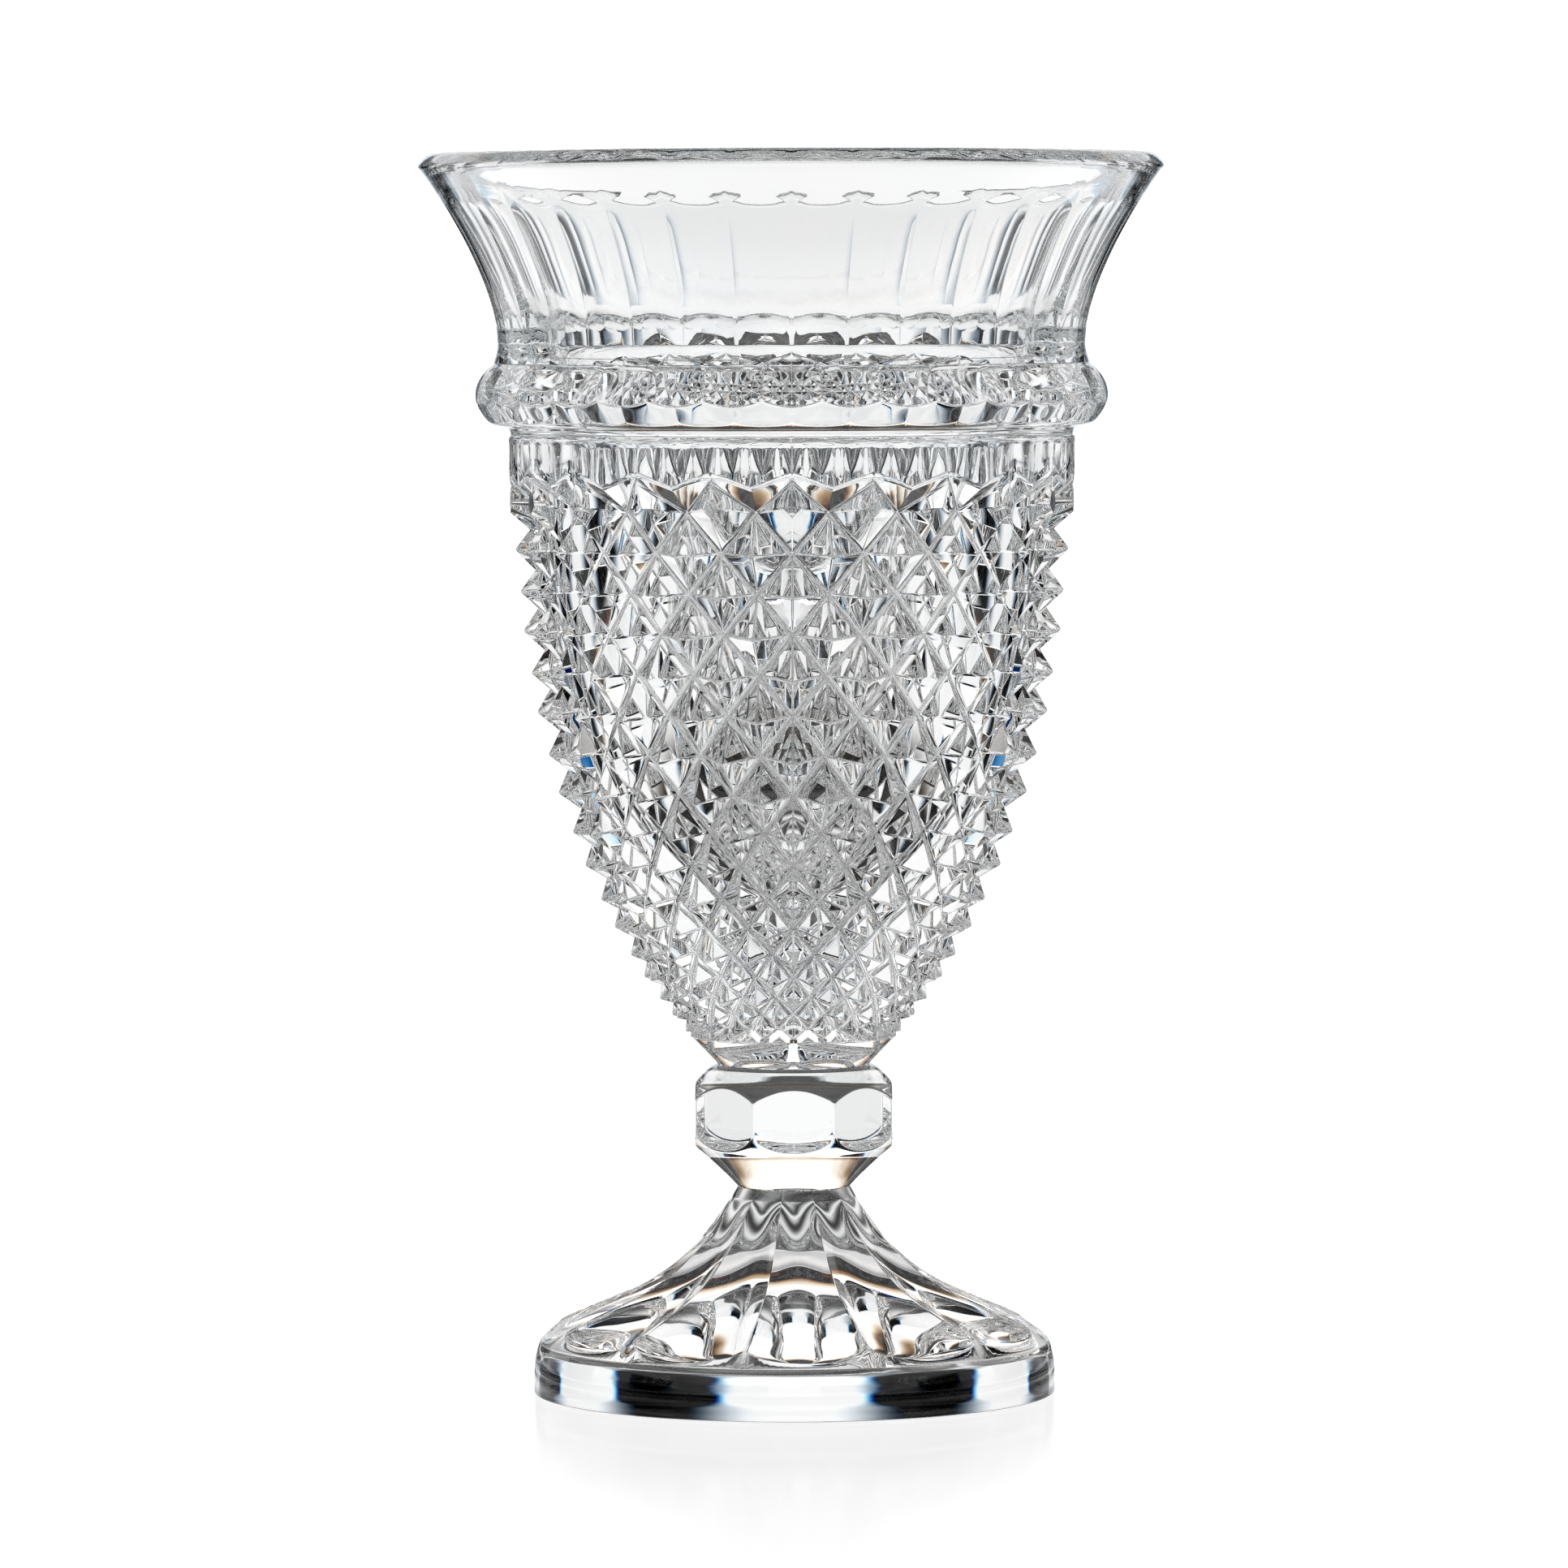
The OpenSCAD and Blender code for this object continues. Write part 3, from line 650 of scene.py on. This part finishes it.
def band_flutes(p):
    """Sinks shallow upright flutes into the plain band, one under each lower facet of the ring."""
    z = p[:, 2] - Z_BOWL
    a = np.degrees(np.arctan2(p[:, 0], -p[:, 1]))
    u = 2 * ((a * FACETS / 360) % 1) - 1
    top = np.clip((BOWL_H - FLUTE_TOP + FLUTE_ARCH * arch(u) - z) / FLUTE_ARCH, 0, 1)
    low = np.clip((z - VALLEY_Z + 1.5) / 1.5, 0, 1)
    near = np.clip(radius(p) - BAND_R + 1.0, 0, 1)
    sink = BAND_SINK * (1 - u * u) * np.sqrt(1 - (1 - top) ** 2) * low * near
    return p - at(sink, a, 0 * z)


def bowl(materials):
    body = Shell()
    lift = np.array([0, 0, Z_BOWL])

    def all_round(p, odd):
        """A patch and its mirror image at every diamond of a row; odd rows are half a diamond further on."""
        for j in range(DIAMONDS):
            turn = math.radians((2 * j + odd) * HALF)
            c, s = math.cos(turn), math.sin(turn)
            spin = np.array([[c, s, 0], [-s, c, 0], [0, 0, 1]])
            for q in (p, p[:, ::-1] * [-1, 1, 1]):
                body.grid(q @ spin + lift, OUTER, wrap=False, flip=True)

    for k in range(ROWS):
        for upper in (True, False):
            all_round(diamond_side(k, upper), k % 2)
    last_odd = (ROWS - 1) % 2
    band, band_f = band_side(diamond_side(0, True)[-1])
    cone, cone_f = cone_side(diamond_side(ROWS - 1, False)[-1])
    all_round(band, 0)
    all_round(cone, last_odd)
    body.points = [band_flutes(q) for q in body.points]

    lip_ring = at(BAND_R - 0.5, ring_angles(band_f, 0), BOWL_H) + lift
    base_ring = at(STEM_R, ring_angles(cone_f, last_odd), 0) + lift
    a = np.arange(0, 360, 1.5)
    joint_z = Z_RING - FILM
    wall = CAVITY[CAVITY[:, 1] < joint_z - 0.05][2::2][::-1]
    inner = np.concatenate([inner_wall(a, joint_z, joint_z, 1), [at(r, a, z) for r, z in wall]])
    body.grid(inner, INNER)
    body.disc(inner[-1], [0, 0, CAVITY_Z], INNER, GLASS)
    body.annulus(lip_ring, inner[0], TOP, JOINT)
    body.disc(base_ring, [0, 0, Z_BOWL], BOTTOM, JOINT, flip=True)
    return body.build("diamond_bowl_glass", materials)


# ---------- materials ----------

GLASS_IOR = 1.55
WAVE = 0.00002       # height of the polishing waves, in metres
WAVE_SCALE = 70.0    # waves in a metre
DRIFT_SCALE = 25.0   # patches of tint in a metre
CLOUD_SCALE = 90.0   # clouds in the adhesive, in a metre


def new_material(name):
    m = bpy.data.materials.new(name)
    m.use_nodes = True
    m.node_tree.nodes.clear()
    return m, m.node_tree.nodes, m.node_tree.links


def noise(nodes, links, scale, detail):
    place = nodes.new("ShaderNodeTexCoord")
    n = nodes.new("ShaderNodeTexNoise")
    n.inputs["Scale"].default_value = scale
    n.inputs["Detail"].default_value = detail
    links.new(place.outputs["Object"], n.inputs["Vector"])
    return n.outputs["Fac"]


def tint(nodes, links, value, low, high, colours):
    """A colour that drifts between two with the value."""
    ramp = nodes.new("ShaderNodeValToRGB")
    for stop, position, colour in zip(ramp.color_ramp.elements, (low, high), colours):
        stop.position, stop.color = position, (*colour, 1)
    links.new(value, ramp.inputs["Fac"])
    return ramp.outputs["Color"]


def crystal_material():
    """Clear polished glass with slow polishing waves and a faint tint that drifts from place to place."""
    m, nodes, links = new_material("crystal")
    glass = nodes.new("ShaderNodeBsdfPrincipled")
    glass.inputs["Transmission Weight"].default_value = 1.0
    glass.inputs["Roughness"].default_value = 0.0
    glass.inputs["IOR"].default_value = GLASS_IOR
    bump = nodes.new("ShaderNodeBump")
    bump.inputs["Strength"].default_value = 1.0
    bump.inputs["Distance"].default_value = WAVE
    links.new(noise(nodes, links, WAVE_SCALE, 2.0), bump.inputs["Height"])
    links.new(bump.outputs["Normal"], glass.inputs["Normal"])
    colour = tint(nodes, links, noise(nodes, links, DRIFT_SCALE, 3.0), 0.3, 0.7,
                  ((0.985, 0.993, 1.0), (1.0, 0.998, 0.993)))
    links.new(colour, glass.inputs["Base Color"])
    out = nodes.new("ShaderNodeOutputMaterial")
    links.new(glass.outputs[0], out.inputs[0])
    return m


def clear_material(name):
    """Lets light through unbent, as cured adhesive between two faces of glass does."""
    m, nodes, links = new_material(name)
    clear = nodes.new("ShaderNodeBsdfTransparent")
    colour = tint(nodes, links, noise(nodes, links, CLOUD_SCALE, 2.0), 0.0, 1.0,
                  ((0.97, 0.98, 0.985), (1.0, 1.0, 1.0)))
    links.new(colour, clear.inputs["Color"])
    out = nodes.new("ShaderNodeOutputMaterial")
    links.new(clear.outputs[0], out.inputs[0])
    return m


# ---------- stage ----------

# Angles are in degrees and distances in metres. An _IN and _OUT pair is where a change starts and ends.
# Bright panels stand all round the vase with dark gaps between them.
PERIOD = 45.0
PANEL_IN, PANEL_OUT = 10.5, 12.5      # the panels' edges, from their middles
SOFT = 5.0                            # how much softer the edges are low down
SOFT_IN, SOFT_OUT = 4.0, 7.0
FRINGE = 0.35                         # shift between the edges of red, green and blue
BELT_IN, BELT_OUT, BELT = 13.0, 15.0, 1.15           # a belt of light above the panels
TOP_IN, TOP_OUT = 27.0, 34.0                         # the top of the belt
CEILING_IN, CEILING_OUT, CEILING = 24.0, 30.0, 0.08  # the dim light above it
OVERHEAD_IN, OVERHEAD_OUT, OVERHEAD = 50.0, 60.0, 0.1
BACKDROP = 1.3                        # what the camera sees behind the vase
FLOOR_IN, FLOOR_OUT = 0.25, 0.38      # where the floor's painted glow begins
GAP_IN, GAP_OUT = 0.85, 1.05          # where the dark gaps begin on the floor
NEAR_IN, NEAR_OUT, NEAR = 0.09, 0.15, 1.0            # a painted pool of light round the vase, in place of the light that the glass gathers round itself
RIPPLE, RIPPLE_TURN = 0.45, 260.0     # its rings: their strength, and radians in a metre
FLOOR_SEEN, FLOOR_RISE = 1.02, 0.3    # the floor as the camera sees it: near the vase, and its rise
RISE_IN, RISE_OUT = 0.12, 0.6
FLOOR_SHINE, FLOOR_ROUGH = 0.16, 0.12
FLOOR_SIZE, FLOOR_Z = 6.0, -0.0003
SENSOR, LENS = 36, 208.5              # in millimetres
CAMERA_AT = (-0.0018, -2.238, 0.2736)
CAMERA_DOWN, CAMERA_ROLL = 3.15, 0.17
EXPOSURE = -0.5
BOUNCES, MIRROR_BOUNCES, CLEAR_BOUNCES = 40, 24, 48


class Maths:
    """Short calls for the value nodes of one node tree."""

    def __init__(self, tree):
        self.tree = tree

    def node(self, kind):
        return self.tree.nodes.new(kind)

    def give(self, socket, value):
        if isinstance(value, (int, float)):
            socket.default_value = value
        else:
            self.tree.links.new(value, socket)

    def do(self, op, *values):
        n = self.node("ShaderNodeMath")
        n.operation = op
        for socket, value in zip(n.inputs, values):
            self.give(socket, value)
        return n.outputs[0]

    def step(self, value, low, high):
        """0 below low, 1 above high, smooth between."""
        n = self.node("ShaderNodeMapRange")
        n.interpolation_type = "SMOOTHSTEP"
        self.give(n.inputs["Value"], value)
        self.give(n.inputs["From Min"], low)
        self.give(n.inputs["From Max"], high)
        return n.outputs["Result"]

    def fall(self, value, low, high):
        """1 below low, 0 above high, smooth between."""
        return self.do("SUBTRACT", 1.0, self.step(value, low, high))

    def panels(self, x, y, soft):
        """The bright panels, one value each for red, green and blue; soft widens their edges."""
        azimuth = self.do("DEGREES", self.do("ARCTAN2", x, y))
        beat = self.do("PINGPONG", self.do("ADD", azimuth, 720.0), PERIOD / 2)
        low, high = self.do("SUBTRACT", PANEL_IN, soft), self.do("ADD", PANEL_OUT, soft)
        return [self.fall(self.do("SUBTRACT", beat, shift), low, high) for shift in (-FRINGE, 0.0, FRINGE)]

    def colour(self, values):
        n = self.node("ShaderNodeCombineColor")
        for socket, value in zip(n.inputs, values):
            self.give(socket, value)
        return n.outputs[0]


def studio():
    """The light round the vase: panels, a belt of light over them and a dim ceiling; white for the camera."""
    world = bpy.data.worlds.new("studio")
    bpy.context.scene.world = world
    world.use_nodes = True
    world.node_tree.nodes.clear()
    sky = Maths(world.node_tree)
    xyz = sky.node("ShaderNodeSeparateXYZ")
    sky.give(xyz.inputs[0], sky.node("ShaderNodeTexCoord").outputs["Generated"])
    camera_ray = sky.node("ShaderNodeLightPath").outputs["Is Camera Ray"]
    height = sky.do("DEGREES", sky.do("ARCSINE", xyz.outputs["Z"]))
    belt = sky.do("MULTIPLY", sky.step(height, BELT_IN, BELT_OUT), BELT)
    ceiling = sky.do("ADD", sky.do("MULTIPLY", sky.step(height, CEILING_IN, CEILING_OUT), CEILING),
                     sky.do("MULTIPLY", sky.step(height, OVERHEAD_IN, OVERHEAD_OUT), OVERHEAD - CEILING))
    soft = sky.do("MULTIPLY", SOFT, sky.fall(height, SOFT_IN, SOFT_OUT))
    panels = sky.panels(xyz.outputs["X"], xyz.outputs["Y"], soft)
    levels = []
    for panel, shift in zip(panels, (1.5 * FRINGE, 0.0, -1.5 * FRINGE)):
        lit = sky.do("MULTIPLY", sky.do("MAXIMUM", panel, belt),
                     sky.fall(height, TOP_IN + shift, TOP_OUT + shift))
        lit = sky.do("MAXIMUM", lit, ceiling)
        levels.append(sky.do("MAXIMUM", lit, sky.do("MULTIPLY", camera_ray, BACKDROP)))
    back = sky.node("ShaderNodeBackground")
    sky.give(back.inputs["Color"], sky.colour(levels))
    sky.give(sky.node("ShaderNodeOutputWorld").inputs[0], back.outputs[0])


def floor_material():
    """Floor that glows with painted light, carrying the panels' pattern on, and white where the camera sees
    it; one-sided, so that it is clear from below.
    """
    m, _, _ = new_material("floor")
    ground = Maths(m.node_tree)
    flat = ground.node("ShaderNodeSeparateXYZ")
    ground.give(flat.inputs[0], ground.node("ShaderNodeTexCoord").outputs["Object"])
    x, y = flat.outputs["X"], flat.outputs["Y"]
    camera_ray = ground.node("ShaderNodeLightPath").outputs["Is Camera Ray"]
    far = ground.do("SQRT", ground.do("ADD", ground.do("MULTIPLY", x, x), ground.do("MULTIPLY", y, y)))
    away = ground.step(far, FLOOR_IN, FLOOR_OUT)
    whole = ground.fall(far, GAP_IN, GAP_OUT)
    # painted light: rings of glow on the floor round the vase
    wave = ground.do("COSINE", ground.do("MULTIPLY", far, RIPPLE_TURN))
    ripple = ground.do("ADD", 1.0 - RIPPLE, ground.do("MULTIPLY", RIPPLE, wave))
    rings = ground.do("MULTIPLY", ripple, ground.do("MULTIPLY", NEAR, ground.fall(far, NEAR_IN, NEAR_OUT)))
    rise = ground.do("MULTIPLY", FLOOR_RISE, ground.step(far, RISE_IN, RISE_OUT))
    shown = ground.do("MULTIPLY", camera_ray, ground.do("ADD", FLOOR_SEEN, rise))
    levels = []
    for panel in ground.panels(x, y, SOFT):
        lit = ground.do("MULTIPLY", ground.do("MAXIMUM", panel, whole), away)
        levels.append(ground.do("MAXIMUM", ground.do("MAXIMUM", lit, rings), shown))
    # painted light: the floor glows with this pattern instead of being lit
    glow = ground.node("ShaderNodeEmission")
    ground.give(glow.inputs["Color"], ground.colour(levels))
    shine = ground.node("ShaderNodeBsdfGlossy")
    shine.inputs["Roughness"].default_value = FLOOR_ROUGH
    above = ground.node("ShaderNodeMixShader")
    sides = ground.node("ShaderNodeMixShader")
    for socket, value in zip(above.inputs, (FLOOR_SHINE, glow.outputs[0], shine.outputs[0])):
        ground.give(socket, value)
    backface = ground.node("ShaderNodeNewGeometry").outputs["Backfacing"]
    clear = ground.node("ShaderNodeBsdfTransparent")
    for socket, value in zip(sides.inputs, (backface, above.outputs[0], clear.outputs[0])):
        ground.give(socket, value)
    ground.give(ground.node("ShaderNodeOutputMaterial").inputs[0], sides.outputs[0])
    return m


def floor():
    mesh = bpy.data.meshes.new("floor")
    corners = [(x * FLOOR_SIZE, y * FLOOR_SIZE, FLOOR_Z) for x, y in ((-1, -1), (1, -1), (1, 1), (-1, 1))]
    mesh.from_pydata(corners, [], [(0, 1, 2, 3)])
    mesh.materials.append(floor_material())
    obj = bpy.data.objects.new("floor", mesh)
    bpy.context.scene.collection.objects.link(obj)


def camera():
    """A long lens in front of the vase, level with the collar and looking slightly down."""
    lens = bpy.data.cameras.new("camera")
    lens.sensor_width, lens.lens = SENSOR, LENS
    lens.clip_start, lens.clip_end = 0.05, 50
    obj = bpy.data.objects.new("camera", lens)
    bpy.context.scene.collection.objects.link(obj)
    obj.location = CAMERA_AT
    obj.rotation_euler = (math.radians(90 - CAMERA_DOWN), math.radians(CAMERA_ROLL), 0)
    bpy.context.scene.camera = obj


def render_look():
    """Strong photographic contrast, and enough bounces for light to leave the cut glass."""
    scene = bpy.context.scene
    scene.view_settings.view_transform = "Standard"
    scene.view_settings.look = "High Contrast"
    scene.view_settings.exposure = EXPOSURE
    scene.cycles.max_bounces = scene.cycles.transmission_bounces = BOUNCES
    scene.cycles.glossy_bounces = MIRROR_BOUNCES
    scene.cycles.transparent_max_bounces = CLEAR_BOUNCES
    scene.cycles.caustics_reflective = True
    scene.cycles.caustics_refractive = True


# ---------- the vase ----------

glass_slots = [crystal_material(), clear_material("joint_face")]
makers = {
    "rim_collar": collar,
    "girdle_ring": girdle,
    "diamond_bowl": bowl,
    "knop": knop,
    "foot": foot,
}
for node, make in makers.items():
    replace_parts(make(glass_slots), node)

film = clear_material("clear_adhesive")
for node in ("bond_foot", "bond_knop", "bond_bowl", "bond_ring"):
    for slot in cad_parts[node].material_slots:
        slot.material = film

studio()
floor()
camera()
render_look()
